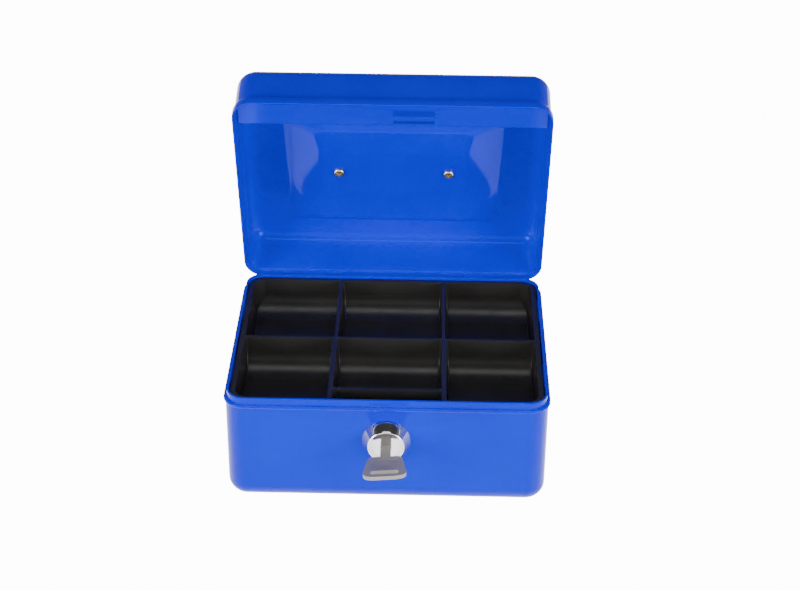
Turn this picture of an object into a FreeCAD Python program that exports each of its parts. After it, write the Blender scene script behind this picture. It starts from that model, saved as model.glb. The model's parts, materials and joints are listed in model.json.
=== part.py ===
"""Steel cash box with a hinged lid, lift-out coin tray, cam lock with key and folding handle.

Millimetres. Origin under the middle of the base, front toward -Y, up +Z.
Lid pieces are drawn closed and turned about the hinge axis to the open rest angle.
"""
import FreeCAD
import Part
import math
import os
import re
import Sketcher
from FreeCAD import Placement, Rotation, Vector

SIZES = {
    # base shell
    "half_width": 76.0,
    "half_depth": 59.0,
    "sheet_gauge": 1.0,
    "corner_round": 9.5,
    "floor_round": 8.0,
    "ledge_z": 54.2,
    "bead_out": 0.9,
    "bead_high": 1.8,
    "bead_round": 0.85,
    "upstand_inset": 0.67,
    "upstand_top": 57.6,
    "tray_rib_reach": 1.0,
    "tray_rib_long": 20.0,
    "tray_rib_high": 2.6,
    "tray_rib_y": 30.0,
    # lid shell, closed
    "rim_z": 54.5,
    "lid_top_z": 83.4,
    "lid_round": 8.0,
    "joggle_out": 1.0,
    "joggle_z": 58.0,
    "lid_open": 73.1,
    "dish_half_width": 54.5,
    "dish_front": -27.2,
    "dish_rear": 44.5,
    "dish_corner": 9.0,
    "dish_deep": 6.0,
    "plateau_half_width": 36.5,
    "plateau_front": -21.5,
    "plateau_rear": 39.0,
    "plateau_corner": 5.0,
    "hang_hole_x": -65.4,
    "hang_hole_y": 31.3,
    "hang_hole_across": 1.6,
    # keeper strip
    "keeper_z": 58.3,
    "keeper_thick": 1.0,
    "keeper_half_width": 74.2,
    "keeper_rear": -43.0,
    "keeper_flange": 8.0,
    "keeper_curl": 1.6,
    "keeper_corner": 7.5,
    "slot_left": 0.3,
    "slot_right": 20.2,
    "slot_front": -52.8,
    "slot_rear": -44.9,
    # hinges
    "hinge_x": 42.0,
    "hinge_y": 60.4,
    "hinge_z": 54.4,
    "hinge_long": 30.0,
    "hinge_gap": 0.3,
    "hinge_notch_side": 0.3,
    "knuckle_long": 9.8,
    "knuckle_radius": 1.35,
    "pin_radius": 0.7,
    "pin_play": 0.05,
    "pin_stand": 0.15,
    "leaf_thick": 0.7,
    "leaf_reach": 14.0,
    # lock
    "lock_z": 35.5,
    "bezel_radius": 11.4,
    "bezel_face_radius": 8.5,
    "bezel_proud": 5.6,
    "bezel_round": 0.9,
    "barrel_radius": 8.0,
    "barrel_flat": 7.0,
    "barrel_end_y": -50.6,
    "plug_radius": 5.5,
    "plug_play": 0.05,
    "plug_head_radius": 6.4,
    "plug_head_thick": 1.5,
    "plug_face_in": 0.3,
    "tail_across": 6.0,
    "nut_across": 20.0,
    "nut_thick": 2.6,
    "washer_radius": 11.0,
    "washer_thick": 0.8,
    "cam_thick": 1.6,
    "cam_front_y": -50.4,
    "cam_disc_radius": 6.5,
    "shank_left": 0.7,
    "shank_right": 6.0,
    "nose_reach": 4.0,
    "nose_inner_radius": 24.5,
    "nose_outer_radius": 26.2,
    "cam_screw_head": 3.2,
    "cam_screw_high": 1.6,
    "cam_screw_shank": 1.5,
    "lock_rest": 5.0,
    "keyway_wide": 5.2,
    "keyway_high": 2.2,
    "keyway_end_y": -52.6,
    "wafer_wide": 9.4,
    "wafer_high": 5.2,
    "wafer_thick": 0.9,
    "wafer_slot": 1.1,
    "wafer_first_y": -61.6,
    "wafer_pitch": 1.9,
    "wafer_count": 5,
    "spring_z": 3.45,
    "spring_radius": 0.42,
    "spring_wire": 0.13,
    "spring_long": 4.2,
    "spring_pitch": 0.6,
    # key
    "blade_wide": 4.8,
    "blade_thick": 1.8,
    "blade_tip_y": -53.2,
    "bow_thick": 2.0,
    "bow_rear_y": -73.0,
    "bow_front_y": -88.5,
    "bow_half_rear": 8.0,
    "bow_half_front": 10.5,
    "bow_round": 3.0,
    "bow_slot_half": 6.5,
    "bow_slot_y": -85.2,
    "bow_slot_wide": 2.5,
    "label_half": 5.8,
    "label_front_y": -82.4,
    "label_rear_y": -75.4,
    "label_deep": 0.2,
    # coin tray
    "tray_top_z": 56.3,
    "tray_lip_half_width": 74.0,
    "tray_lip_half_depth": 57.0,
    "tray_lip_thick": 1.2,
    "tray_half_width": 73.0,
    "tray_half_depth": 56.0,
    "tray_bottom_z": 36.7,
    "tray_corner": 8.0,
    "tray_draft": 0.8,
    "tray_floor": 1.6,
    "tray_edge": 2.7,
    "divider_x": 26.5,
    "divider_thick": 1.6,
    "row_y": -1.0,
    "row_thick": 1.2,
    "pocket_half_width": 25.9,
    "pocket_rear_y": -46.9,
    "pocket_wall": 1.6,
    "cell_corner": 1.0,
    "cell_outer_corner": 6.4,
    "cell_scoop": 11.0,
    "tray_under_radius": 3.0,
    # handle
    "handle_x": 27.8,
    "handle_y": 4.9,
    "handle_up": 3.6,
    "handle_wire": 2.0,
    "handle_play": 0.08,
    "handle_arm_x": 34.2,
    "handle_reach": 17.0,
    "handle_bend": 6.0,
    "post_wide": 8.4,
    "post_deep": 7.2,
    "post_offset": 0.2,
    "handle_end_x": 29.9,
    "screw_head_radius": 2.6,
    "screw_head_high": 1.5,
    "screw_shank_radius": 1.4,
    "screw_cross_half": 1.4,
    "cam_cross_half": 1.7,
    "screw_hole_play": 0.1,
    "screw_reach": 4.0,
    "cross_wide": 0.8,
    "cross_deep": 0.7,
}

doc = FreeCAD.newDocument("cash_box")
sheet = doc.addObject("Spreadsheet::Sheet", "sizes")
for row, (alias, number) in enumerate(SIZES.items(), start=1):
    sheet.set(f"A{row}", alias)
    sheet.set(f"B{row}", str(number))
    sheet.setAlias(f"B{row}", alias)
doc.recompute()

LID_TURN = "placement(vector(0; 0; 0); rotation(vector(1; 0; 0); -lid_open); vector(0; hinge_y; hinge_z))"
LOCK_TURN = "placement(vector(0; 0; 0); rotation(vector(0; 1; 0); -lock_rest); vector(0; 0; lock_z))"
# Turns that lay a cylinder made along +Z along another axis.
ALONG_X = Rotation(Vector(0, 1, 0), 90)
ALONG_MINUS_Y = Rotation(Vector(1, 0, 0), 90)

pieces = []


def bound(text):
    """Turn every name of a sheet row in an expression into a reference to that row."""
    return re.sub(r"[a-z_]+", lambda m: "sizes." + m.group() if m.group() in SIZES else m.group(), text)


def value(text):
    return float(sheet.evalExpression(bound(text)))


def bind(thing, **properties):
    for name, text in properties.items():
        thing.setExpression(name, bound(text))


def move(thing, x="0", y="0", z="0"):
    for letter, text in zip("xyz", (x, y, z)):
        thing.setExpression(f"Placement.Base.{letter}", bound(text))


def finish_piece(thing, label, turn=None):
    thing.Label = label
    if turn:
        thing.setExpression("Placement", bound(turn))
    pieces.append(thing)
    return thing


# ---- part primitives ----

def box(name, x0, x1, y0, y1, z0, z1):
    made = doc.addObject("Part::Box", name)
    bind(made, Length=f"({x1}) - ({x0})", Width=f"({y1}) - ({y0})", Height=f"({z1}) - ({z0})")
    move(made, x0, y0, z0)
    return made


def rod(name, radius, length, x="0", y="0", z="0", turn=Rotation()):
    made = doc.addObject("Part::Cylinder", name)
    bind(made, Radius=radius, Height=length)
    made.Placement = Placement(Vector(), turn)
    move(made, x, y, z)
    return made


def cone(name, radius_start, radius_end, length, x, y, z, turn):
    made = doc.addObject("Part::Cone", name)
    bind(made, Radius1=radius_start, Radius2=radius_end, Height=length)
    made.Placement = Placement(Vector(), turn)
    move(made, x, y, z)
    return made


def fuse(name, *things):
    made = doc.addObject("Part::MultiFuse", name)
    made.Shapes = list(things)
    made.Refine = True
    return made


def cut(name, base, *tools):
    tool = tools[0] if len(tools) == 1 else fuse(name + "_tools", *tools)
    made = doc.addObject("Part::Cut", name)
    made.Base = base
    made.Tool = tool
    made.Refine = True
    return made


def common(name, first, second):
    made = doc.addObject("Part::Common", name)
    made.Base = first
    made.Tool = second
    return made


def chosen_edges(shape, wanted):
    return [number for number, edge in enumerate(shape.Edges, start=1) if wanted(edge)]


def rounded(name, base, radius, wanted):
    """Part fillet of the edges that pass the test."""
    doc.recompute()
    made = doc.addObject("Part::Fillet", name)
    made.Base = base
    size = value(radius)
    made.Edges = [(number, size, size) for number in chosen_edges(base.Shape, wanted)]
    return made


# ---- sketched bodies ----

def body(label):
    return doc.addObject("PartDesign::Body", label)


def sketch_on(owner, name, level="0", plane="XY_Plane"):
    made = owner.newObject("Sketcher::SketchObject", name)
    made.AttachmentSupport = [(o, "") for o in owner.Origin.OriginFeatures if o.Role == plane]
    made.MapMode = "FlatFace"
    made.setExpression("AttachmentOffset.Base.z", bound(level))
    return made


def drive(sketch, kind, where, text):
    index = sketch.addConstraint(Sketcher.Constraint(kind, *where, value(text)))
    sketch.setExpression(f"Constraints[{index}]", bound(text))


def rounded_outline(owner, name, level, left, right, front, rear, radius, plane="XY_Plane"):
    made = sketch_on(owner, name, level, plane)
    x0, x1, y0, y1, r = (value(text) for text in (left, right, front, rear, radius))
    corners = [(x1 - r, y0 + r, -90), (x1 - r, y1 - r, 0), (x0 + r, y1 - r, 90), (x0 + r, y0 + r, 180)]
    ends = [((x0 + r, y0), (x1 - r, y0)), ((x1, y0 + r), (x1, y1 - r)),
            ((x1 - r, y1), (x0 + r, y1)), ((x0, y1 - r), (x0, y0 + r))]
    for start, end in ends:
        made.addGeometry(Part.LineSegment(Vector(*start, 0), Vector(*end, 0)))
    for x, y, angle in corners:
        circle = Part.Circle(Vector(x, y, 0), Vector(0, 0, 1), r)
        made.addGeometry(Part.ArcOfCircle(circle, math.radians(angle), math.radians(angle + 90)))
    for side in range(4):
        arc = 4 + side
        made.addConstraint(Sketcher.Constraint("Tangent", side, 2, arc, 1))
        made.addConstraint(Sketcher.Constraint("Tangent", arc, 2, (side + 1) % 4, 1))
    for side, kind in enumerate(("Horizontal", "Vertical", "Horizontal", "Vertical")):
        made.addConstraint(Sketcher.Constraint(kind, side))
    for arc in (5, 6, 7):
        made.addConstraint(Sketcher.Constraint("Equal", 4, arc))
    drive(made, "Radius", (4,), radius)
    drive(made, "DistanceX", (-1, 1, 3, 1), left)
    drive(made, "DistanceX", (-1, 1, 1, 1), right)
    drive(made, "DistanceY", (-1, 1, 0, 1), front)
    drive(made, "DistanceY", (-1, 1, 2, 1), rear)
    return made


def polygon_outline(owner, name, level, points, plane="XY_Plane"):
    made = sketch_on(owner, name, level, plane)
    spots = [Vector(value(x), value(y), 0) for x, y in points]
    count = len(spots)
    for index in range(count):
        made.addGeometry(Part.LineSegment(spots[index], spots[(index + 1) % count]))
    for index in range(count):
        made.addConstraint(Sketcher.Constraint("Coincident", index, 2, (index + 1) % count, 1))
    for index, (x, y) in enumerate(points):
        drive(made, "DistanceX", (-1, 1, index, 1), x)
        drive(made, "DistanceY", (-1, 1, index, 1), y)
    return made


def circle_outline(owner, name, level, spots, radius, plane="XY_Plane"):
    made = sketch_on(owner, name, level, plane)
    for index, (x, y) in enumerate(spots):
        made.addGeometry(Part.Circle(Vector(value(x), value(y), 0), Vector(0, 0, 1), value(radius)))
        drive(made, "DistanceX", (-1, 1, index, 3), x)
        drive(made, "DistanceY", (-1, 1, index, 3), y)
        drive(made, "Radius", (index,), radius)
    return made


def check_volume(owner, before, grows):
    doc.recompute()
    change = owner.Shape.Volume - before
    if (change > 0) != grows or abs(change) < 1e-6:
        raise RuntimeError(f"{owner.Tip.Name} changed the volume by {change:.3f}")


def extrude(owner, kind, name, profile, length, reverse=False):
    doc.recompute()
    before = owner.Shape.Volume if owner.Tip else 0.0
    made = owner.newObject("PartDesign::" + kind, name)
    made.Profile = profile
    bind(made, Length=length)
    made.Reversed = reverse
    check_volume(owner, before, kind == "Pad")
    return made


def loft(owner, kind, name, first, last):
    doc.recompute()
    before = owner.Shape.Volume if owner.Tip else 0.0
    made = owner.newObject("PartDesign::" + kind, name)
    made.Profile = first
    made.Sections = [last]
    made.Ruled = True
    check_volume(owner, before, kind == "AdditiveLoft")
    return made


def fillet(owner, name, radius, wanted):
    base = owner.Tip
    numbers = chosen_edges(base.Shape, wanted)
    made = owner.newObject("PartDesign::Fillet", name)
    made.Base = (base, [f"Edge{number}" for number in numbers])
    bind(made, Radius=radius)
    doc.recompute()
    if "Invalid" in made.State or not numbers:
        raise RuntimeError(f"{name} could not round {len(numbers)} edges")
    return made


def overhang(edge):
    """How far the middle of an edge lies outside the outline of the box walls."""
    spot = edge.valueAt((edge.FirstParameter + edge.LastParameter) / 2)
    turn = value("corner_round")
    across = max(abs(spot.x) - value("half_width") + turn, 0.0)
    along = max(abs(spot.y) - value("half_depth") + turn, 0.0)
    return math.hypot(across, along) - turn


def at_level(text, reach=-100.0):
    """Edges lying flat at a height, reaching at least so far outside the box walls."""
    level = value(text)

    def wanted(edge):
        low, high = edge.BoundBox.ZMin, edge.BoundBox.ZMax
        return abs(low - level) < 0.01 and abs(high - level) < 0.01 and overhang(edge) > reach
    return wanted


# ---- base shell ----

def outline_in(owner, name, level, inset):
    """Rounded outline of the box walls, moved in by an amount."""
    return rounded_outline(owner, name, level, f"-half_width + {inset}", f"half_width - ({inset})",
                           f"-half_depth + {inset}", f"half_depth - ({inset})", f"corner_round - ({inset})")


def make_base_shell():
    owner = body("base_outside")
    walls = outline_in(owner, "base_walls", "0", "0")
    extrude(owner, "Pad", "base_block", walls, "ledge_z")
    fillet(owner, "base_floor_round", "floor_round", at_level("0"))
    bead = outline_in(owner, "base_bead_outline", "ledge_z - bead_high", "(-bead_out)")
    extrude(owner, "Pad", "base_bead", bead, "bead_high")
    top_edges = at_level("ledge_z", reach=0.5)
    low_edges = at_level("ledge_z - bead_high", reach=0.5)
    fillet(owner, "base_bead_round", "bead_round", lambda edge: top_edges(edge) or low_edges(edge))
    upstand = outline_in(owner, "base_upstand_outline", "ledge_z", "upstand_inset")
    extrude(owner, "Pad", "base_upstand", upstand, "upstand_top - ledge_z")
    hole = circle_outline(owner, "lock_hole_outline", "half_depth + 1", [("0", "lock_z")],
                          "barrel_radius", plane="XZ_Plane")
    extrude(owner, "Pocket", "lock_hole", hole, "sheet_gauge + 2")
    cavity = body("base_cavity")
    inside = outline_in(cavity, "base_inside_outline", "sheet_gauge", "sheet_gauge")
    extrude(cavity, "Pad", "base_inside", inside, "ledge_z - 2 * sheet_gauge")
    fillet(cavity, "base_inner_round", "floor_round - sheet_gauge", at_level("sheet_gauge"))
    mouth = outline_in(cavity, "base_mouth_outline", "ledge_z - sheet_gauge", "(upstand_inset + sheet_gauge)")
    extrude(cavity, "Pad", "base_mouth", mouth, "upstand_top - ledge_z + 2 * sheet_gauge")
    ribs = []
    shelf = "(tray_top_z - tray_lip_thick)"
    for side in ("-", ""):
        inner = f"{side}(half_width - upstand_inset - sheet_gauge - tray_rib_reach)"
        outer = f"{side}(half_width - 0.5 * sheet_gauge - upstand_inset)"
        left, right = (outer, inner) if side else (inner, outer)
        for row in ("-", ""):
            name = f"tray_rib_{'left' if side else 'right'}_{'front' if row else 'rear'}"
            middle = f"{row}tray_rib_y"
            ribs.append(box(name, left, right, f"{middle} - tray_rib_long / 2", f"{middle} + tray_rib_long / 2",
                            f"{shelf} - tray_rib_high", shelf))
    notches = [hinge_notch(f"base_hinge_notch_{word}", side, "ledge_z - bead_high - 0.2", "ledge_z + 1")
               for side, word in (("-", "left"), ("", "right"))]
    shell = fuse("base_ribbed", cut("base_hollow", owner, cavity), *ribs)
    return finish_piece(cut("base_shell", shell, *notches), "base_shell")


def hinge_notch(name, side, low, high):
    """Block that clears a hinge out of a rim standing proud of the rear wall."""
    half = "(hinge_long / 2 + hinge_notch_side)"
    return box(name, f"{side}hinge_x - {half}", f"{side}hinge_x + {half}", "half_depth", "half_depth + 3", low, high)


# ---- lid shell and keeper strip ----

def make_lid_shell():
    owner = body("lid_outside")
    walls = outline_in(owner, "lid_walls", "rim_z", "0")
    extrude(owner, "Pad", "lid_block", walls, "lid_top_z - rim_z")
    fillet(owner, "lid_top_round", "lid_round", at_level("lid_top_z"))
    band = outline_in(owner, "lid_band_outline", "rim_z", "(-joggle_out)")
    extrude(owner, "Pad", "lid_band", band, "joggle_z + sheet_gauge - rim_z")
    fillet(owner, "lid_band_round", "0.7 * joggle_out",
           at_level("joggle_z + sheet_gauge", reach=0.5))
    brim, plateau = dish_outlines(owner, "lid_top_z")
    loft(owner, "SubtractiveLoft", "dish", brim, plateau)
    hang = circle_outline(owner, "hang_hole_outline", "lid_top_z + 1", [("hang_hole_x", "hang_hole_y")],
                          "hang_hole_across / 2")
    extrude(owner, "Pocket", "hang_hole", hang, "sheet_gauge + 2")
    holes = circle_outline(owner, "screw_hole_outline", "lid_top_z - dish_deep + 1",
                           [("-handle_x", "handle_y"), ("handle_x", "handle_y")],
                           "screw_shank_radius + screw_hole_play")
    extrude(owner, "Pocket", "screw_holes", holes, "sheet_gauge + 2")
    cavity = body("lid_cavity")
    inside = outline_in(cavity, "lid_inside_outline", "rim_z - 1", "sheet_gauge")
    extrude(cavity, "Pad", "lid_inside", inside, "lid_top_z - sheet_gauge - rim_z + 1")
    fillet(cavity, "lid_inner_round", "lid_round - sheet_gauge", at_level("lid_top_z - sheet_gauge"))
    seat = outline_in(cavity, "lid_seat_outline", "rim_z - 1", "(sheet_gauge - joggle_out)")
    extrude(cavity, "Pad", "lid_seat", seat, "joggle_z - rim_z + 1")
    brim, plateau = dish_outlines(cavity, "lid_top_z - sheet_gauge")
    loft(cavity, "SubtractiveLoft", "dish_under", brim, plateau)
    notches = [hinge_notch(f"lid_hinge_notch_{word}", side, "rim_z - 1", "joggle_z + sheet_gauge")
               for side, word in (("-", "left"), ("", "right"))]
    return finish_piece(cut("lid_shell", owner, cavity, *notches), "lid_shell", LID_TURN)


def dish_outlines(owner, level):
    """Top and bottom outlines of the pressed handle dish."""
    brim = rounded_outline(owner, owner.Label + "_brim", level, "-dish_half_width", "dish_half_width",
                           "dish_front", "dish_rear", "dish_corner")
    plateau = rounded_outline(owner, owner.Label + "_plateau", f"{level} - dish_deep", "-plateau_half_width",
                              "plateau_half_width", "plateau_front", "plateau_rear", "plateau_corner")
    return brim, plateau


def make_keeper_strip():
    owner = body("keeper_strip")
    front = "-half_depth + sheet_gauge"
    plate = polygon_outline(owner, "keeper_plate_outline", "keeper_z",
                            [("-keeper_half_width", front), ("keeper_half_width", front),
                             ("keeper_half_width", "keeper_rear"), ("-keeper_half_width", "keeper_rear")])
    extrude(owner, "Pad", "keeper_plate", plate, "keeper_thick")
    front_y = value(front)
    fillet(owner, "keeper_corner_round", "keeper_corner",
           lambda edge: edge.BoundBox.ZLength > 0.5 and abs(edge.CenterOfMass.y - front_y) < 0.01)
    long_half = "keeper_half_width - keeper_corner - 1"
    flange = polygon_outline(owner, "keeper_flange_outline", "keeper_z",
                             [(f"-({long_half})", front), (long_half, front),
                              (long_half, f"{front} + keeper_thick"), (f"-({long_half})", f"{front} + keeper_thick")])
    extrude(owner, "Pad", "keeper_flange", flange, "keeper_thick + keeper_flange")
    curl = polygon_outline(owner, "keeper_curl_outline", "keeper_z",
                           [("-keeper_half_width", "keeper_rear - keeper_thick"),
                            ("keeper_half_width", "keeper_rear - keeper_thick"),
                            ("keeper_half_width", "keeper_rear"), ("-keeper_half_width", "keeper_rear")])
    extrude(owner, "Pad", "keeper_curl", curl, "keeper_thick + keeper_curl")
    low, rear = value("keeper_z"), value("keeper_rear")
    fillet(owner, "keeper_curl_round", "0.8 * keeper_thick",
           lambda edge: edge.BoundBox.XLength > 50 and abs(edge.CenterOfMass.y - rear) < 0.01
           and abs(edge.CenterOfMass.z - low) < 0.01)
    slot = rounded_outline(owner, "keeper_slot_outline", "keeper_z + keeper_thick", "slot_left", "slot_right",
                           "slot_front", "slot_rear", "0.5")
    extrude(owner, "Pocket", "keeper_slot", slot, "keeper_thick")
    return finish_piece(owner, "keeper_strip", LID_TURN)


# ---- hinges ----

def knuckle(name, x_start):
    outer = rod(name + "_outer", "knuckle_radius", "knuckle_long", x_start, "hinge_y", "hinge_z", ALONG_X)
    return outer


def make_hinge(side, word):
    middle = f"{side}hinge_x"
    left = f"{middle} - hinge_long / 2"
    right = f"{middle} + hinge_long / 2"
    step = "(knuckle_long + hinge_gap)"
    inner, outer = "half_depth", "half_depth + leaf_thick"

    base_leaf = box(f"base_leaf_{word}", left, right, inner, outer, "hinge_z - leaf_reach", "hinge_z")
    base_gap = box(f"base_leaf_gap_{word}", f"{left} + knuckle_long", f"{right} - knuckle_long",
                   "half_depth - 1", "half_depth + 5", "hinge_z - knuckle_radius - hinge_gap", "hinge_z + 2")
    base_ends = fuse(f"base_knuckles_{word}", knuckle(f"base_knuckle_a_{word}", left),
                     knuckle(f"base_knuckle_b_{word}", f"{left} + 2 * {step}"))
    base_part = fuse(f"base_leaf_whole_{word}", cut(f"base_leaf_cut_{word}", base_leaf, base_gap), base_ends)
    base_bore = rod(f"base_bore_{word}", "pin_radius + pin_play", "hinge_long + 4", f"{left} - 2",
                    "hinge_y", "hinge_z", ALONG_X)
    finish_piece(cut(f"hinge_leaf_base_{word}", base_part, base_bore), f"hinge_leaf_base_{word}")

    lid_leaf = box(f"lid_leaf_{word}", f"{left} - hinge_notch_side", f"{right} + hinge_notch_side", inner, outer,
                   "hinge_z + knuckle_radius + hinge_gap", "hinge_z + leaf_reach")
    lid_root = box(f"lid_leaf_root_{word}", f"{left} + {step}", f"{left} + {step} + knuckle_long",
                   inner, outer, "hinge_z", "hinge_z + knuckle_radius + hinge_gap")
    lid_part = fuse(f"lid_leaf_whole_{word}", lid_leaf, lid_root,
                    knuckle(f"lid_knuckle_{word}", f"{left} + {step}"))
    lid_bore = rod(f"lid_bore_{word}", "pin_radius + pin_play", "hinge_long + 4", f"{left} - 2",
                   "hinge_y", "hinge_z", ALONG_X)
    finish_piece(cut(f"hinge_leaf_lid_{word}", lid_part, lid_bore), f"hinge_leaf_lid_{word}", LID_TURN)

    pin = rod(f"pin_stock_{word}", "pin_radius", "hinge_long + 2 * pin_stand", f"{left} - pin_stand", "hinge_y",
              "hinge_z", ALONG_X)
    finish_piece(pin, f"hinge_pin_{word}")


# ---- lock ----

def make_lock_housing():
    front = "-half_depth - bezel_proud"
    bezel = cone("bezel", "bezel_radius", "bezel_face_radius", "bezel_proud", "0", "-half_depth", "lock_z",
                 ALONG_MINUS_Y)
    face = value(front)
    bezel = rounded("bezel_soft", bezel, "bezel_round", lambda edge: abs(edge.BoundBox.YMin - face) < 0.01
                    and edge.BoundBox.YLength < 0.01)
    barrel = rod("barrel", "barrel_radius", "-half_depth - barrel_end_y + 2 * (half_depth + barrel_end_y)",
                 "0", "barrel_end_y", "lock_z", ALONG_MINUS_Y)
    flats = box("barrel_flats", "-barrel_radius", "barrel_radius", "-half_depth", "barrel_end_y + 1",
                "lock_z - barrel_flat", "lock_z + barrel_flat")
    whole = fuse("lock_solid", bezel, common("barrel_flatted", barrel, flats))
    bore = rod("plug_bore", "plug_radius + plug_play", "2 * bezel_proud + half_depth", "0", "0", "lock_z",
               ALONG_MINUS_Y)
    mouth = rod("plug_mouth", "plug_head_radius + plug_play", "plug_face_in + plug_head_thick + plug_play",
                "0", f"{front} + plug_face_in + plug_head_thick + plug_play", "lock_z", ALONG_MINUS_Y)
    return finish_piece(cut("lock_housing", whole, bore, mouth), "lock_housing")


def make_lock_fixings():
    inside = "(-half_depth + sheet_gauge)"
    disc = rod("washer_disc", "washer_radius", "washer_thick", "0", f"{inside} + washer_thick", "lock_z",
               ALONG_MINUS_Y)
    hole = rod("washer_hole", "barrel_radius", "washer_thick + 2", "0", f"{inside} + washer_thick + 1", "lock_z",
               ALONG_MINUS_Y)
    finish_piece(cut("lock_washer", disc, hole), "lock_washer")
    prism = doc.addObject("Part::Prism", "nut_prism")
    prism.Polygon = 6
    bind(prism, Circumradius="nut_across / 2 / cos(30)", Height="nut_thick")
    prism.Placement = Placement(Vector(), ALONG_MINUS_Y)
    move(prism, "0", f"{inside} + washer_thick + nut_thick", "lock_z")
    bore = rod("nut_bore", "barrel_radius", "nut_thick + 2", "0", f"{inside} + washer_thick + nut_thick + 1",
               "lock_z", ALONG_MINUS_Y)
    finish_piece(cut("lock_nut", prism, bore), "lock_nut")


def wafer_y(index):
    return f"wafer_first_y + {index} * wafer_pitch"


def make_plug():
    face = "(-half_depth - bezel_proud + plug_face_in)"
    head = rod("plug_head", "plug_head_radius", "plug_head_thick", "0", f"{face} + plug_head_thick", "lock_z",
               ALONG_MINUS_Y)
    stem = rod("plug_stem", "plug_radius", f"barrel_end_y - {face}", "0", "barrel_end_y", "lock_z", ALONG_MINUS_Y)
    tail = box("plug_tail", "-tail_across / 2", "tail_across / 2", "barrel_end_y - 0.1",
               "cam_front_y + cam_thick", "lock_z - tail_across / 2", "lock_z + tail_across / 2")
    keyway = box("keyway", "-keyway_wide / 2", "keyway_wide / 2", f"{face} - 1", "keyway_end_y",
                 "lock_z - keyway_high / 2", "lock_z + keyway_high / 2")
    slots = [box(f"wafer_slot_{index}", "-plug_radius - 1", "plug_radius + 1",
                 f"{wafer_y(index)} - wafer_slot / 2", f"{wafer_y(index)} + wafer_slot / 2",
                 "lock_z - wafer_high / 2 - 0.1", "lock_z + spring_z + spring_radius + spring_wire + 0.15")
             for index in range(SIZES["wafer_count"])]
    thread = rod("tail_thread", "cam_screw_shank", "2.6", "0", "cam_front_y + cam_thick + 0.01", "lock_z",
                 ALONG_MINUS_Y)
    finish_piece(cut("lock_plug", fuse("plug_solid", head, stem, tail), keyway, thread, *slots), "lock_plug",
                 LOCK_TURN)


def make_wafers():
    plates = []
    for index in range(SIZES["wafer_count"]):
        back, front = f"{wafer_y(index)} + wafer_thick / 2", f"{wafer_y(index)} - wafer_thick / 2"
        plate = box(f"wafer_plate_{index}", "-wafer_wide / 2", "wafer_wide / 2", front, back,
                    "lock_z - wafer_high / 2", "lock_z + wafer_high / 2")
        window = box(f"wafer_window_{index}", "-keyway_wide / 2", "keyway_wide / 2", f"{front} - 1",
                     f"{back} + 1", "lock_z - keyway_high / 2", "lock_z + keyway_high / 2")
        plates.append(cut(f"wafer_{index}", plate, window))
    group = doc.addObject("Part::Compound", "lock_wafers")
    group.Links = plates
    finish_piece(group, "lock_wafers", LOCK_TURN)


def make_wafer_springs():
    coils = []
    for index in range(SIZES["wafer_count"]):
        helix = doc.addObject("Part::Helix", f"spring_path_{index}")
        bind(helix, Radius="spring_radius", Pitch="spring_pitch", Height="spring_long")
        wire = doc.addObject("Part::Circle", f"spring_wire_{index}")
        bind(wire, Radius="spring_wire")
        wire.Placement = Placement(Vector(), Rotation(Vector(1, 0, 0), 90))
        wire.setExpression("Placement.Base.x", bound("spring_radius"))
        coil = doc.addObject("Part::Sweep", f"spring_{index}")
        coil.Sections = [wire]
        coil.Spine = (helix, ["Edge1"])
        coil.Solid = True
        coil.Frenet = True
        coil.Placement = Placement(Vector(), ALONG_X)
        move(coil, "-spring_long / 2", wafer_y(index), "lock_z + spring_z")
        coils.append(coil)
    group = doc.addObject("Part::Compound", "wafer_springs")
    group.Links = coils
    finish_piece(group, "wafer_springs", LOCK_TURN)


def make_cam():
    back = "cam_front_y + cam_thick"
    disc = rod("cam_disc", "cam_disc_radius", "cam_thick", "0", back, "lock_z", ALONG_MINUS_Y)
    shank = box("cam_shank", "shank_left", "shank_right", "cam_front_y", back, "lock_z",
                "lock_z + nose_outer_radius")
    nose = box("cam_nose", "-nose_reach", "shank_right", "cam_front_y", back,
               "lock_z + nose_inner_radius - 1", "lock_z + nose_outer_radius")
    inside = rod("cam_nose_inside", "nose_inner_radius", "cam_thick + 2", "0", f"{back} + 1", "lock_z",
                 ALONG_MINUS_Y)
    outside = rod("cam_reach", "nose_outer_radius", "cam_thick + 2", "0", f"{back} + 1", "lock_z", ALONG_MINUS_Y)
    flat = common("cam_flat", fuse("cam_raw", disc, shank, cut("cam_nose_cut", nose, inside)), outside)
    square = box("cam_square", "-tail_across / 2", "tail_across / 2", "cam_front_y - 1", f"{back} + 1",
                 "lock_z - tail_across / 2", "lock_z + tail_across / 2")
    made = cut("lock_cam", flat, square)
    turn = LOCK_TURN.replace("-lock_rest", "90 - lock_rest")
    finish_piece(made, "lock_cam", turn)
    head = rod("cam_screw_head_disc", "cam_screw_head + 0.4", "cam_screw_high", "0",
               f"{back} + cam_screw_high", "lock_z", ALONG_MINUS_Y)
    rim = f"{back} + cam_screw_high"
    rim_y = value(rim)
    head = rounded("cam_screw_soft", head, "0.5 * cam_screw_high",
                   lambda edge: abs(edge.BoundBox.YMax - rim_y) < 0.01 and edge.BoundBox.YLength < 0.01)
    shaft = rod("cam_screw_shaft", "cam_screw_shank", "2.4", "0", f"{back} + 0.1", "lock_z", ALONG_MINUS_Y)
    bars = [box("cam_screw_bar_a", "-cross_wide / 2", "cross_wide / 2", f"{rim} - cross_deep", f"{rim} + 1",
                "lock_z - cam_cross_half", "lock_z + cam_cross_half"),
            box("cam_screw_bar_b", "-cam_cross_half", "cam_cross_half", f"{rim} - cross_deep", f"{rim} + 1",
                "lock_z - cross_wide / 2", "lock_z + cross_wide / 2")]
    finish_piece(cut("cam_screw", fuse("cam_screw_solid", head, shaft), *bars), "cam_screw", LOCK_TURN)


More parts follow.
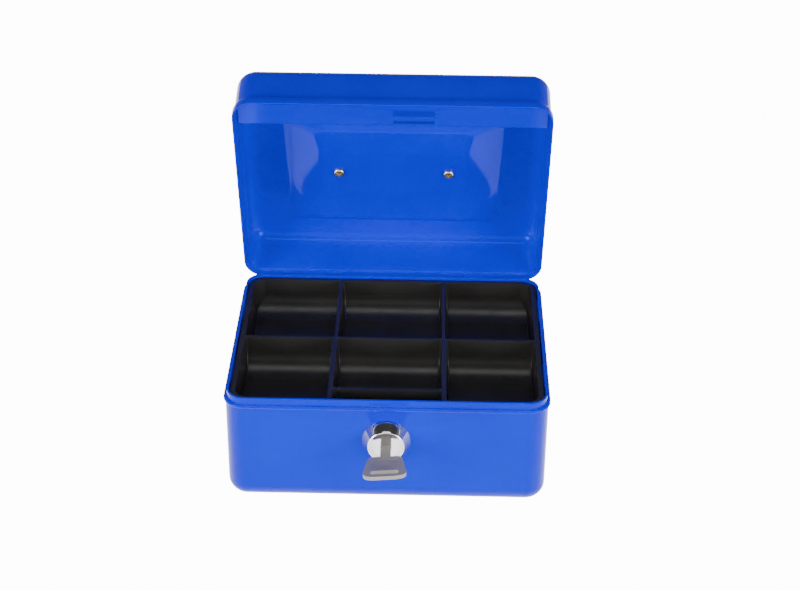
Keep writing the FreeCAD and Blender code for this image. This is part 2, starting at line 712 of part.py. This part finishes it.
def make_key():
    owner = body("key")
    bow = polygon_outline(owner, "bow_outline", "lock_z - bow_thick / 2",
                          [("-bow_half_rear", "bow_rear_y"), ("-bow_half_front", "bow_front_y + 1"),
                           ("-bow_half_front / 2", "bow_front_y"), ("bow_half_front / 2", "bow_front_y"),
                           ("bow_half_front", "bow_front_y + 1"), ("bow_half_rear", "bow_rear_y")])
    extrude(owner, "Pad", "bow", bow, "bow_thick")
    half = value("bow_half_rear") - 0.1
    fillet(owner, "bow_corner_round", "bow_round",
           lambda edge: edge.BoundBox.ZLength > 1 and abs(edge.CenterOfMass.x) > half)
    blade = polygon_outline(owner, "blade_outline", "lock_z - blade_thick / 2",
                            [("-blade_wide / 2", "bow_rear_y - 1"), ("blade_wide / 2", "bow_rear_y - 1"),
                             ("blade_wide / 2", "blade_tip_y - 1.6"), ("0.3", "blade_tip_y"),
                             ("-0.3", "blade_tip_y"), ("-blade_wide / 2", "blade_tip_y - 1.6")])
    extrude(owner, "Pad", "blade", blade, "blade_thick")
    slot = rounded_outline(owner, "bow_slot_outline", "lock_z + bow_thick / 2 + 1", "-bow_slot_half",
                           "bow_slot_half", "bow_slot_y - bow_slot_wide / 2", "bow_slot_y + bow_slot_wide / 2",
                           "0.48 * bow_slot_wide")
    extrude(owner, "Pocket", "bow_slot", slot, "bow_thick + 2")
    label = rounded_outline(owner, "label_outline", "lock_z + bow_thick / 2", "-label_half", "label_half",
                            "label_front_y", "label_rear_y", "1.5")
    extrude(owner, "Pocket", "label_recess", label, "label_deep")
    return finish_piece(owner, "key", LOCK_TURN)


# ---- coin tray ----

def make_coin_tray():
    owner = body("tray_block")
    top = rounded_outline(owner, "tray_top_outline", "tray_top_z", "-tray_half_width", "tray_half_width",
                          "-tray_half_depth", "tray_half_depth", "tray_corner")
    under = rounded_outline(owner, "tray_under_outline", "tray_bottom_z", "-tray_half_width + tray_draft",
                            "tray_half_width - tray_draft", "-tray_half_depth + tray_draft",
                            "tray_half_depth - tray_draft", "tray_corner")
    loft(owner, "AdditiveLoft", "tray_blank", top, under)
    fillet(owner, "tray_under_round", "tray_under_radius", at_level("tray_bottom_z"))
    lip = rounded_outline(owner, "tray_lip_outline", "tray_top_z", "-tray_lip_half_width",
                          "tray_lip_half_width", "-tray_lip_half_depth", "tray_lip_half_depth", "tray_corner")
    extrude(owner, "Pad", "tray_lip", lip, "tray_lip_thick", reverse=True)
    fillet(owner, "tray_lip_round", "0.45 * tray_lip_thick",
           at_level("tray_top_z"))
    pocket_top = rounded_outline(owner, "pocket_top", "tray_top_z", "-pocket_half_width", "pocket_half_width",
                                 "-half_depth - 5", "pocket_rear_y", "2")
    pocket_low = rounded_outline(owner, "pocket_low", "tray_bottom_z", "-pocket_half_width - tray_draft",
                                 "pocket_half_width + tray_draft", "-half_depth - 5", "pocket_rear_y + 0.3", "2")
    loft(owner, "SubtractiveLoft", "cam_pocket", pocket_top, pocket_low)
    inner_x = "divider_x - divider_thick / 2"
    outer_x = "divider_x + divider_thick / 2"
    side_x = "tray_lip_half_width - tray_edge"
    rear, front = "tray_lip_half_depth - tray_edge", "-tray_half_depth + 1"
    row_front, row_rear = "row_y - row_thick / 2", "row_y + row_thick / 2"
    cells = {
        "rear_left": (f"-({side_x})", f"-({outer_x})", row_rear, rear),
        "rear_middle": (f"-({inner_x})", inner_x, row_rear, rear),
        "rear_right": (outer_x, side_x, row_rear, rear),
        "front_left": (f"-({side_x})", f"-({outer_x}) - 0.6", front, row_front),
        "front_middle": (f"-({inner_x})", inner_x, "pocket_rear_y + pocket_wall", row_front),
        "front_right": (f"{outer_x} + 0.6", side_x, front, row_front),
    }
    floor = "tray_bottom_z + tray_floor"
    drafts = [("tray_draft", "tray_draft"), ("-tray_draft", "tray_draft"),
              ("-tray_draft", "-tray_draft"), ("tray_draft", "-tray_draft")]
    flat_on_floor, top_z, end_lean = at_level(floor), value("tray_top_z"), value("tray_draft") + 0.1

    def at_floor_along_x(edge):
        return flat_on_floor(edge) and edge.BoundBox.XLength > edge.BoundBox.YLength

    def on_end_wall(edge):
        return edge.BoundBox.XLength < end_lean and edge.BoundBox.ZMin < top_z - 0.1

    scoops = []
    for name, (left, right, low, high) in cells.items():
        cell = body(f"cell_{name}")
        top_corners = [(left, low), (right, low), (right, high), (left, high)]
        base_corners = [(f"{x} + ({across})", f"{y} + ({along})")
                        for (x, y), (across, along) in zip(top_corners, drafts)]
        mouth = polygon_outline(cell, f"cell_{name}_mouth", "tray_top_z", top_corners)
        base = polygon_outline(cell, f"cell_{name}_base", floor, base_corners)
        loft(cell, "AdditiveLoft", f"cell_{name}_hollow", mouth, base)
        fillet(cell, f"cell_{name}_scoop", "cell_scoop", at_floor_along_x)
        fillet(cell, f"cell_{name}_ends", "cell_corner", on_end_wall)
        scoops.append(cell)
    inside = body("tray_inside")
    slack = "0.05"
    mouth = rounded_outline(inside, "inside_mouth", "tray_top_z", f"-({side_x}) - {slack}",
                            f"{side_x} + {slack}", f"{front} - {slack}", f"{rear} + {slack}", "cell_outer_corner")
    base = rounded_outline(inside, "inside_base", "tray_bottom_z", f"-({side_x}) - {slack} + tray_draft",
                           f"{side_x} + {slack} - tray_draft", f"{front} - {slack} + tray_draft",
                           f"{rear} + {slack} - tray_draft", "cell_outer_corner")
    loft(inside, "AdditiveLoft", "inside_hollow", mouth, base)
    hollows = common("tray_hollows", fuse("tray_cells", *scoops), inside)
    return finish_piece(cut("coin_tray", owner, hollows), "coin_tray")


# ---- handle ----

def make_handle():
    level = "(lid_top_z - dish_deep + handle_up)"
    wire = "handle_wire"
    straight = "(handle_reach - handle_bend)"
    parts = []
    for side, word in (("-", "left"), ("", "right")):
        arm = f"{side}handle_arm_x"
        start = arm if side else "handle_end_x"
        pivot = rod(f"handle_pivot_{word}", wire, "handle_arm_x - handle_end_x", start, "handle_y", level, ALONG_X)
        elbow = doc.addObject("Part::Sphere", f"handle_elbow_{word}")
        bind(elbow, Radius=wire)
        move(elbow, arm, "handle_y", level)
        leg = rod(f"handle_leg_{word}", wire, straight, arm, f"handle_y + {straight}", level, ALONG_MINUS_Y)
        bend = doc.addObject("Part::Torus", f"handle_bend_{word}")
        bind(bend, Radius1="handle_bend", Radius2=wire)
        bend.Angle3 = 90
        bend.Placement = Placement(Vector(), Rotation(Vector(0, 0, 1), 90 if side else 0))
        move(bend, f"{side}(handle_arm_x - handle_bend)", f"handle_y + {straight}", level)
        parts += [pivot, elbow, leg, bend]
    parts.append(rod("handle_grip", wire, "2 * (handle_arm_x - handle_bend)", "-(handle_arm_x - handle_bend)",
                     "handle_y + handle_reach", level, ALONG_X))
    finish_piece(fuse("carry_handle", *parts), "carry_handle", LID_TURN)


def make_handle_mount(side, word):
    seat = "(lid_top_z - dish_deep)"
    level = f"({seat} + handle_up)"
    middle = f"{side}handle_x"
    toward = f"{side}post_offset"
    left, right = f"{middle} + {toward} - post_wide / 2", f"{middle} + {toward} + post_wide / 2"
    block = box(f"post_block_{word}", left, right, "handle_y - post_deep / 2", "handle_y + post_deep / 2",
                seat, level)
    top = rod(f"post_top_{word}", "post_deep / 2", "post_wide", left, "handle_y", level, ALONG_X)
    hole_start = "-(handle_arm_x + 2)" if side else "handle_end_x - 0.3"
    pivot_hole = rod(f"post_hole_{word}", "handle_wire + handle_play", "handle_arm_x + 2 - handle_end_x + 0.3",
                     hole_start, "handle_y", level, ALONG_X)
    thread = rod(f"post_thread_{word}", "screw_shank_radius", "screw_reach", middle, "handle_y",
                 f"{seat} - 1")
    finish_piece(cut(f"handle_post_{word}", fuse(f"post_solid_{word}", block, top), pivot_hole, thread),
                 f"handle_post_{word}", LID_TURN)

    under = f"({seat} - sheet_gauge)"
    low = f"{under} - screw_head_high"
    head = rod(f"screw_head_{word}", "screw_head_radius", "screw_head_high", middle, "handle_y", low)
    low_z = value(low)
    head = rounded(f"screw_soft_{word}", head, "0.6 * screw_head_high",
                   lambda edge: abs(edge.BoundBox.ZMin - low_z) < 0.01 and edge.BoundBox.ZLength < 0.01)
    shaft = rod(f"screw_shaft_{word}", "screw_shank_radius", "screw_reach - 0.1", middle, "handle_y",
                f"{under} - 0.1")
    bars = [box(f"screw_bar_a_{word}", f"{middle} - screw_cross_half", f"{middle} + screw_cross_half",
                "handle_y - cross_wide / 2", "handle_y + cross_wide / 2", f"{low} - 1",
                f"{low} + cross_deep"),
            box(f"screw_bar_b_{word}", f"{middle} - cross_wide / 2", f"{middle} + cross_wide / 2",
                "handle_y - screw_cross_half", "handle_y + screw_cross_half", f"{low} - 1",
                f"{low} + cross_deep")]
    finish_piece(cut(f"handle_screw_{word}", fuse(f"screw_solid_{word}", head, shaft), *bars),
                 f"handle_screw_{word}", LID_TURN)


make_base_shell()
make_lid_shell()
make_keeper_strip()
for sign, word in (("-", "left"), ("", "right")):
    make_hinge(sign, word)
    make_handle_mount(sign, word)
make_lock_housing()
make_lock_fixings()
make_plug()
make_wafers()
make_wafer_springs()
make_cam()
make_key()
make_coin_tray()
make_handle()
doc.recompute()

for thing in doc.Objects:
    if "Invalid" in thing.State or "Error" in thing.State:
        raise RuntimeError(f"{thing.Name} did not recompute: {thing.State}")

os.makedirs("parts", exist_ok=True)
for piece in pieces:
    shape = piece.Shape
    if shape.isNull() or not shape.isValid():
        raise RuntimeError(f"{piece.Label} has no valid shape")
    shape.exportStep(f"parts/{piece.Label}.step")
    box_of = shape.BoundBox
    print(f"{piece.Label}: {len(shape.Solids)} solid(s), {shape.Volume:.0f} mm3, "
          f"x {box_of.XMin:.1f} {box_of.XMax:.1f} y {box_of.YMin:.1f} {box_of.YMax:.1f} "
          f"z {box_of.ZMin:.1f} {box_of.ZMax:.1f}")
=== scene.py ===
"""Looks of the cash box: blue gloss powder coat, black moulded tray, chrome lock and key."""
import json
import math

import bmesh
import bpy
from mathutils import Matrix, Vector


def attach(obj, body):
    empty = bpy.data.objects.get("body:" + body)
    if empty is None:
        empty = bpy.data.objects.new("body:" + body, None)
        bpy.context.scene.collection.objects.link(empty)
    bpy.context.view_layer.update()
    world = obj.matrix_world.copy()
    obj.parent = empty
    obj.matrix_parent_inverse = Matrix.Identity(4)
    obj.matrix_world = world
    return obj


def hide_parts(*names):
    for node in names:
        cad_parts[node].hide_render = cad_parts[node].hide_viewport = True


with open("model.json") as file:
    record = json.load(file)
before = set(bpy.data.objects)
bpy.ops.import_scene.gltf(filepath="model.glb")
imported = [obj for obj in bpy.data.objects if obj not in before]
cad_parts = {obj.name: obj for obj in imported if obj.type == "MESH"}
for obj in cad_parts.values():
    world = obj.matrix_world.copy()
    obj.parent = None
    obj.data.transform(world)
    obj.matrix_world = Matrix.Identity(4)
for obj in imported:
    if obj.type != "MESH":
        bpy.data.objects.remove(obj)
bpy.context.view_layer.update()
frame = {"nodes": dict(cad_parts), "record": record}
nodes = frame["nodes"]
MM = 0.001

# where the hinge is (mm) and how far the lid rests open (degrees)
HINGE_Y, HINGE_Z, LID_OPEN = 60.4, 54.4, 73.1

# the closed lid (mm): half sizes, corner and top rounds, height of the top, sheet thickness
HALF_WIDTH, HALF_DEPTH = 76.0, 59.0
CORNER_ROUND, TOP_ROUND, LID_TOP, SHEET = 9.5, 8.0, 83.4, 1.0
ROUND_STEPS = 9

# the handle dish in the lid (mm)
DISH_HALF_WIDTH, DISH_FRONT, DISH_REAR, DISH_CORNER, DISH_DEEP = 54.5, -27.2, 44.5, 9.0, 6.0
SIDE_RUN = 18.5                       # length of the sloping sides
END_RUN, END_SHARE = 5.6, 0.78        # length of the steep ends, and the share of the depth they reach
FLAT_FRONT, FLAT_REAR = -7.4, 18.6    # between these the floor is flat
BOW_FRONT, BOW_REAR, BOW_SHARE = 14.1, 20.4, 0.22    # beyond them it bows up
CREASE, FLOOR_CREASE = 0.4, 0.05      # softness of the creases, as a share of the depth
DISH_STEPS, DISH_RINGS = 40, 43       # rings up to the brim, and rings in all

# the small hole in the lid and the notches for the hinges (mm)
HANG_HOLE, HANG_PLACE = 0.5, (-65.4, 31.3)
HINGE_X, NOTCH_HALF = 42, 15.3

# points along each corner, each end and each side of an outline
PER_CORNER, ALONG_X, ALONG_Y = 9, 90, 60

# materials: the part of a noise texture's range that is in use, the grain of plated metal, and how
# much lighter its edges are painted as a painted highlight
NOISE_LOW, NOISE_HIGH = 0.3, 0.7
GRAIN_SCALE, EDGE_HIGHLIGHT_GAIN = 300, 1.12


# ---------------------------------------------------------------- materials

class Tree:
    """Small helper for building a node material."""

    def __init__(self, name):
        self.material = bpy.data.materials.new(name)
        self.material.use_nodes = True
        self.nodes = self.material.node_tree.nodes
        self.links = self.material.node_tree.links
        self.nodes.clear()
        self.out = self.nodes.new("ShaderNodeOutputMaterial")
        self.shader = self.nodes.new("ShaderNodeBsdfPrincipled")
        self.links.new(self.shader.outputs[0], self.out.inputs["Surface"])
        self.coords = self.nodes.new("ShaderNodeTexCoord")

    def set(self, **values):
        for name, value in values.items():
            self.shader.inputs[name.replace("_", " ")].default_value = value

    def noise(self, scale, detail=2.0, rough=0.5, stretch=(1, 1, 1)):
        mapping = self.nodes.new("ShaderNodeMapping")
        mapping.inputs["Scale"].default_value = stretch
        self.links.new(self.coords.outputs["Object"], mapping.inputs["Vector"])
        node = self.nodes.new("ShaderNodeTexNoise")
        node.inputs["Scale"].default_value = scale
        node.inputs["Detail"].default_value = detail
        node.inputs["Roughness"].default_value = rough
        self.links.new(mapping.outputs["Vector"], node.inputs["Vector"])
        return node.outputs["Fac"]

    def remap(self, source, low, high, to_low=0.0, to_high=1.0):
        node = self.nodes.new("ShaderNodeMapRange")
        node.inputs["From Min"].default_value = low
        node.inputs["From Max"].default_value = high
        node.inputs["To Min"].default_value = to_low
        node.inputs["To Max"].default_value = to_high
        self.links.new(source, node.inputs["Value"])
        return node.outputs["Result"]

    def patches(self, source, to_low=0.0, to_high=1.0):
        """Spreads a noise over a whole range."""
        return self.remap(source, NOISE_LOW, NOISE_HIGH, to_low, to_high)

    def mix(self, factor, first, second):
        node = self.nodes.new("ShaderNodeMix")
        node.data_type = "RGBA"
        self.links.new(factor, node.inputs["Factor"])
        for socket, value in (("A", first), ("B", second)):
            target = [s for s in node.inputs if s.name == socket and s.type == "RGBA"][0]
            if isinstance(value, tuple):
                target.default_value = (*value, 1.0)
            else:
                self.links.new(value, target)
        return [s for s in node.outputs if s.type == "RGBA"][0]

    def edges(self, low, high):
        """1 on outer edges, 0 on flat parts."""
        geometry = self.nodes.new("ShaderNodeNewGeometry")
        return self.remap(geometry.outputs["Pointiness"], low, high)

    def bump(self, height, strength, distance):
        node = self.nodes.new("ShaderNodeBump")
        node.inputs["Strength"].default_value = strength
        node.inputs["Distance"].default_value = distance
        self.links.new(height, node.inputs["Height"])
        self.links.new(node.outputs["Normal"], self.shader.inputs["Normal"])

    def color(self, output):
        self.links.new(output, self.shader.inputs["Base Color"])

    def roughness(self, output):
        self.links.new(output, self.shader.inputs["Roughness"])


def blue_paint():
    tree = Tree("blue_paint")
    tree.set(Specular_IOR_Level=0.6, Specular_Tint=(0.04, 0.14, 1.0, 1.0))
    base = tree.mix(tree.patches(tree.noise(28, 3)), (0.0, 0.003, 0.64), (0.0, 0.006, 0.72))
    # outer edges painted a lighter blue: a painted highlight
    painted_edge_highlight = tree.mix(tree.edges(0.56, 0.72), base, (0.001, 0.02, 0.85))
    tree.color(painted_edge_highlight)
    tree.roughness(tree.patches(tree.noise(60, 2), 0.07, 0.11))
    tree.bump(tree.noise(900, 1.0, 0.4), 0.05, 0.0002)
    return tree.material


def black_plastic():
    tree = Tree("black_plastic")
    tree.set(Specular_IOR_Level=0.24)
    base = tree.mix(tree.patches(tree.noise(40, 3)), (0.019, 0.018, 0.0175), (0.025, 0.024, 0.023))
    # edges painted lighter and a little blue: a painted highlight with a painted reflection of the
    # blue lid
    tree.color(tree.mix(tree.edges(0.54, 0.7), base, (0.02, 0.021, 0.026)))
    tree.roughness(tree.patches(tree.noise(150, 3), 0.30, 0.38))
    tree.bump(tree.noise(1500, 2.0, 0.6), 0.02, 0.0002)
    return tree.material


def plated(name, dark, light, roughness, grain=0.03, stretch=(1, 1, 1), metallic=1.0):
    """Metal between two colours, with fine grain that can be stretched along one axis, and edges
    painted lighter as a painted highlight.
    """
    tree = Tree(name)
    tree.set(Metallic=metallic)
    base = tree.mix(tree.patches(tree.noise(80, 3)), dark, light)
    # edges painted lighter than the metal: a painted highlight
    bright = tuple(min(1.0, c * EDGE_HIGHLIGHT_GAIN) for c in light)
    tree.color(tree.mix(tree.edges(0.55, 0.7), base, bright))
    tree.roughness(tree.patches(tree.noise(GRAIN_SCALE, 3, 0.6, stretch), *roughness))
    tree.bump(tree.noise(GRAIN_SCALE * 2, 2.0, 0.6, stretch), grain, 0.0001)
    return tree.material


MATERIALS = {
    "blue_paint": blue_paint(),
    "black_plastic": black_plastic(),
    "chrome": plated("chrome", (0.60, 0.60, 0.61), (0.74, 0.74, 0.75), (0.05, 0.12)),
    "steel": plated("steel", (0.42, 0.42, 0.43), (0.55, 0.55, 0.56), (0.22, 0.36), 0.06),
    "key_nickel": plated("key_nickel", (0.24, 0.22, 0.20), (0.32, 0.30, 0.27), (0.3, 0.4),
                         0.08, (1, 8, 1), metallic=0.35),
    "brass": plated("brass", (0.66, 0.54, 0.32), (0.84, 0.74, 0.52), (0.16, 0.26),
                    0.05, metallic=0.9),
}


def dress(thing, slot):
    thing.data.materials.clear()
    thing.data.materials.append(MATERIALS[slot])


SLOTS = {part["node"]: part["material_slot"] for part in frame["record"]["subparts"]}
for name, thing in nodes.items():
    dress(thing, SLOTS[name])


# ---------------------------------------------------------------- modelling helpers

def outline(half_x, front, rear, radius, z):
    """Rounded rectangle as points, always the same number in the same order."""
    points = []
    corners = ((half_x - radius, front + radius, -90), (half_x - radius, rear - radius, 0),
               (-half_x + radius, rear - radius, 90), (-half_x + radius, front + radius, 180))
    for index, (x, y, start) in enumerate(corners):
        for step in range(PER_CORNER + 1):
            angle = math.radians(start + 90 * step / PER_CORNER)
            points.append(Vector((x + radius * math.cos(angle), y + radius * math.sin(angle), z)))
        next_x, next_y, next_start = corners[(index + 1) % 4]
        turn = math.radians(next_start)
        end = Vector((next_x + radius * math.cos(turn), next_y + radius * math.sin(turn), z))
        count = ALONG_Y if index % 2 == 0 else ALONG_X
        last = points[-1]
        points += [last.lerp(end, step / count) for step in range(1, count)]
    return points


def mesh_object(name, work):
    """Makes a bmesh into an object of the scene."""
    mesh = bpy.data.meshes.new(name)
    work.to_mesh(mesh)
    work.free()
    made = bpy.data.objects.new(name, mesh)
    bpy.context.scene.collection.objects.link(made)
    return made


def skin(name, rings):
    """Closed mesh through a list of rings of points, capped at both ends."""
    work = bmesh.new()
    loops = [[work.verts.new(point * MM) for point in ring] for ring in rings]
    count = len(loops[0])
    for low, high in zip(loops, loops[1:]):
        for index in range(count):
            after = (index + 1) % count
            work.faces.new((low[index], low[after], high[after], high[index]))
    work.faces.new(loops[0][::-1])
    work.faces.new(loops[-1])
    bmesh.ops.recalc_face_normals(work, faces=work.faces)
    return mesh_object(name, work)


def block(name, low, high):
    """Box between two corners, in mm."""
    work = bmesh.new()
    bmesh.ops.create_cube(work, size=1.0)
    size = [(b - a) * MM for a, b in zip(low, high)]
    middle = Vector([(a + b) / 2 * MM for a, b in zip(low, high)])
    bmesh.ops.scale(work, vec=size, verts=work.verts)
    bmesh.ops.translate(work, vec=middle, verts=work.verts)
    return mesh_object(name, work)


def drill(name, radius, centre, low_z, high_z):
    """Upright cylinder, in mm."""
    work = bmesh.new()
    bmesh.ops.create_cone(work, cap_ends=True, segments=32, radius1=radius * MM,
                          radius2=radius * MM, depth=(high_z - low_z) * MM)
    middle = Vector((*centre, (low_z + high_z) / 2)) * MM
    bmesh.ops.translate(work, vec=middle, verts=work.verts)
    return mesh_object(name, work)


def carve(thing, cutters):
    """Subtracts the cutters for good and removes them."""
    for cutter in cutters:
        modifier = thing.modifiers.new("carve", "BOOLEAN")
        modifier.operation = "DIFFERENCE"
        modifier.solver = "EXACT"
        modifier.object = cutter
    bpy.context.view_layer.update()
    graph = bpy.context.evaluated_depsgraph_get()
    mesh = bpy.data.meshes.new_from_object(thing.evaluated_get(graph))
    thing.modifiers.clear()
    thing.data = mesh
    for cutter in cutters:
        bpy.data.objects.remove(cutter)


def smooth(thing, angle):
    """Smooth shading, with edges sharper than the angle (degrees) left sharp."""
    thing.data.shade_smooth()
    thing.data.set_sharp_from_angle(angle=math.radians(angle))


def open_with_lid(thing):
    """Turns a piece drawn on the closed lid to where the lid rests."""
    centre = Vector((0, HINGE_Y, HINGE_Z)) * MM
    turn = Matrix.Rotation(math.radians(-LID_OPEN), 4, "X")
    thing.data.transform(Matrix.Translation(centre) @ turn @ Matrix.Translation(-centre))


# ---------------------------------------------------------------- lid

def soft_min(a, b, blend):
    """The smaller of two values, rounded where they are nearly equal."""
    reach = max(blend - abs(a - b), 0.0) / blend
    return min(a, b) - reach * reach * blend / 4


def dish_depth(x, y):
    """Depth of the handle dish: long sides slope, ends are steep, the floor bows up a little."""
    side = (DISH_HALF_WIDTH - abs(x)) / SIDE_RUN
    end = min(y - DISH_FRONT, DISH_REAR - y) * END_SHARE / END_RUN
    bow = (max(FLAT_FRONT - y, 0.0) * BOW_SHARE / BOW_FRONT
           + max(y - FLAT_REAR, 0.0) * BOW_SHARE / BOW_REAR)
    share = soft_min(soft_min(side, end, CREASE), 1.0 - bow, FLOOR_CREASE)
    return DISH_DEEP * -soft_min(-share, 0.0, FLOOR_CREASE)


def dish_rings(panel_z):
    """Rings from the middle of the handle dish out past its brim."""
    middle, half_long = (DISH_FRONT + DISH_REAR) / 2, (DISH_REAR - DISH_FRONT) / 2
    made = []
    for step in range(1, DISH_RINGS + 1):
        t = step / DISH_STEPS
        ring = outline(DISH_HALF_WIDTH * t, middle - half_long * t, middle + half_long * t,
                       DISH_CORNER * t, panel_z)
        for point in ring:
            point.z -= dish_depth(point.x, point.y)
        made.append(ring)
    return made


def lid_wall(offset, z):
    """Ring of the wall moved out by an offset."""
    return outline(HALF_WIDTH + offset, -HALF_DEPTH - offset, HALF_DEPTH + offset,
                   CORNER_ROUND + offset, z)


def lid_shoulder(sheet):
    """Rings round the top edge, from the panel to the wall, a sheet thickness inside it."""
    made = []
    for step in range(ROUND_STEPS + 1):
        angle = math.radians(90 * step / ROUND_STEPS)
        radius = TOP_ROUND - sheet
        made.append(lid_wall(-TOP_ROUND + radius * math.sin(angle),
                             LID_TOP - TOP_ROUND + radius * math.cos(angle)))
    return made


# the wall as offset and height (mm): down outside, out over the joggle, round the rim, up inside
LID_WALL_PROFILE = (
    (0.0, 70.0), (0.0, 62.0), (0.0, 59.55), (0.08, 59.25), (0.3, 59.05), (0.7, 58.95),
    (0.92, 58.75), (1.0, 58.4), (1.0, 56.5), (1.0, 54.75), (0.93, 54.58), (0.75, 54.5),
    (0.25, 54.5), (0.07, 54.58), (0.0, 54.75), (0.0, 56.5), (0.0, 57.45), (-0.08, 57.8),
    (-0.3, 57.98), (-0.7, 58.05), (-0.92, 58.25), (-1.0, 58.6), (-1.0, 62.0), (-1.0, 70.0))


def lid_rings():
    """All rings of the lid: outside from the dish to the rim, then back up the inside."""
    outside = dish_rings(LID_TOP) + lid_shoulder(0.0)
    wall = [lid_wall(offset, z) for offset, z in LID_WALL_PROFILE]
    inside = lid_shoulder(SHEET)[::-1] + dish_rings(LID_TOP - SHEET)[::-1]
    return outside + wall + inside


lid = skin("lid_skin", lid_rings())
cutters = [drill("hang", HANG_HOLE, HANG_PLACE, 80, 86)]
for x in (-HINGE_X, HINGE_X):
    cutters.append(block("notch", (x - NOTCH_HALF, 59.0, 52.0), (x + NOTCH_HALF, 62.0, 59.0)))
carve(lid, cutters)
open_with_lid(lid)
smooth(lid, 40)
dress(lid, "blue_paint")
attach(lid, "lid")
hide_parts("lid_shell")


# ---------------------------------------------------------------- softened CAD pieces

SOFT_EDGES = {"coin_tray": 0.35, "key": 0.25, "lock_housing": 0.15, "lock_plug": 0.1,
              "keeper_strip": 0.3, "lock_cam": 0.2, "lock_nut": 0.2}


def soften(name, width):
    """Rounds the sharp edges of a CAD piece by a width in mm."""
    modifier = nodes[name].modifiers.new("soft_edges", "BEVEL")
    modifier.width = width * MM
    modifier.segments = 3
    modifier.limit_method = "ANGLE"
    modifier.angle_limit = math.radians(35)
    modifier.use_clamp_overlap = True
    modifier.harden_normals = True


for name, width in SOFT_EDGES.items():
    soften(name, width)


# ---------------------------------------------------------------- floor, light and camera

FLOOR_HALF, FLOOR_WHITE = 6, ((0.88, 0.88, 0.88), (0.90, 0.90, 0.90))
FLOOR_STRENGTH, GLOW_STRENGTH = 13.0, 2.4
GLOW_Z, DOME_RADIUS = -0.001, 5.5


def white_floor(name, z):
    """Square floor in metres around the origin."""
    work = bmesh.new()
    corners = ((-FLOOR_HALF, -FLOOR_HALF), (FLOOR_HALF, -FLOOR_HALF),
               (FLOOR_HALF, FLOOR_HALF), (-FLOOR_HALF, FLOOR_HALF))
    work.faces.new([work.verts.new((x, y, z)) for x, y in corners])
    return mesh_object(name, work)


def white_light(name, strength):
    """White material that shines."""
    tree = Tree(name)
    tree.set(Emission_Color=(1, 1, 1, 1), Emission_Strength=strength)
    tree.color(tree.mix(tree.noise(6, 2), *FLOOR_WHITE))
    return tree


# the floor that the camera sees
floor_tree = white_light("floor", FLOOR_STRENGTH)
floor_tree.set(Specular_IOR_Level=0.5)
floor_tree.roughness(floor_tree.patches(floor_tree.noise(20, 2), 0.18, 0.24))
floor = white_floor("floor", 0.0)
floor.data.materials.append(floor_tree.material)
floor.visible_diffuse = floor.visible_glossy = False

# the floor as the gloss sees it, softer than the one that the camera sees
glow = white_floor("floor_glow", GLOW_Z)
glow.data.materials.append(white_light("floor_glow", GLOW_STRENGTH).material)
glow.visible_diffuse = glow.visible_camera = False


def backdrop(radius):
    """Half dome that only the camera sees, as bright as the floor, so that no horizon shows."""
    work = bmesh.new()
    bmesh.ops.create_uvsphere(work, u_segments=48, v_segments=24, radius=radius)
    below = [vert for vert in work.verts if vert.co.z < GLOW_Z]
    bmesh.ops.delete(work, geom=below, context="VERTS")
    made = mesh_object("backdrop", work)
    made.data.materials.append(floor_tree.material)
    made.visible_diffuse = made.visible_glossy = False
    made.visible_transmission = made.visible_shadow = False


backdrop(DOME_RADIUS)


def area_light(name, place, target, size, power):
    """White rectangle of light, in metres and watts, turned to its target."""
    data = bpy.data.lights.new(name, "AREA")
    data.shape = "RECTANGLE"
    data.size, data.size_y = size
    data.energy = power
    made = bpy.data.objects.new(name, data)
    made.location = place
    direction = Vector(target) - Vector(place)
    made.rotation_mode = "QUATERNION"
    made.rotation_quaternion = direction.to_track_quat("-Z", "Y")
    bpy.context.scene.collection.objects.link(made)


area_light("left", (-1.0, -0.85, 0.28), (0, 0, 0.08), (0.7, 0.6), 17)
area_light("right", (1.0, -0.85, 0.28), (0, 0, 0.08), (0.7, 0.6), 17)
area_light("top", (0, -0.5, 1.2), (0, 0, 0.06), (0.8, 0.5), 6)
area_light("front", (0, -1.5, 0.5), (0, 0, 0.06), (1.2, 0.5), 2.5)

# the room: brighter at the horizon than overhead
world = bpy.data.worlds.new("world")
world.use_nodes = True
sky = world.node_tree
coords = sky.nodes.new("ShaderNodeTexCoord")
split = sky.nodes.new("ShaderNodeSeparateXYZ")
fade = sky.nodes.new("ShaderNodeMapRange")
fade.interpolation_type = "SMOOTHSTEP"
for socket, value in (("From Min", 0.25), ("From Max", 0.75), ("To Min", 0.45), ("To Max", 0.06)):
    fade.inputs[socket].default_value = value
sky.links.new(coords.outputs["Generated"], split.inputs["Vector"])
sky.links.new(split.outputs["Z"], fade.inputs["Value"])
sky.links.new(fade.outputs["Result"], sky.nodes["Background"].inputs["Strength"])
sky.nodes["Background"].inputs["Color"].default_value = (1, 1, 1, 1)
bpy.context.scene.world = world


# camera as fitted to the photograph's outlines: degrees, millimetres of lens, metres
CAMERA_TURN, CAMERA_DOWN, CAMERA_ROLL = -1.031, 30.506, 0.493
LENS, DISTANCE, AIM = 81.55, 0.8801, (4.85, 0, 80.48)


def camera():
    """Puts the camera at its distance from the point (mm) that it looks at."""
    azimuth, down, roll = (math.radians(a) for a in (CAMERA_TURN, CAMERA_DOWN, CAMERA_ROLL))
    forward = Vector((math.sin(azimuth) * math.cos(down), math.cos(azimuth) * math.cos(down),
                      -math.sin(down)))
    side = forward.cross(Vector((0, 0, 1))).normalized()
    up = side.cross(forward)
    right = side * math.cos(roll) + up * math.sin(roll)
    top = -side * math.sin(roll) + up * math.cos(roll)
    data = bpy.data.cameras.new("camera")
    data.sensor_width = 36.0
    data.lens = LENS
    data.clip_start, data.clip_end = 0.05, 30
    made = bpy.data.objects.new("camera", data)
    place = Vector(AIM) * MM - forward * DISTANCE
    made.matrix_world = Matrix(((right.x, top.x, -forward.x, place.x),
                                (right.y, top.y, -forward.y, place.y),
                                (right.z, top.z, -forward.z, place.z), (0, 0, 0, 1)))
    bpy.context.scene.collection.objects.link(made)
    bpy.context.scene.camera = made


camera()
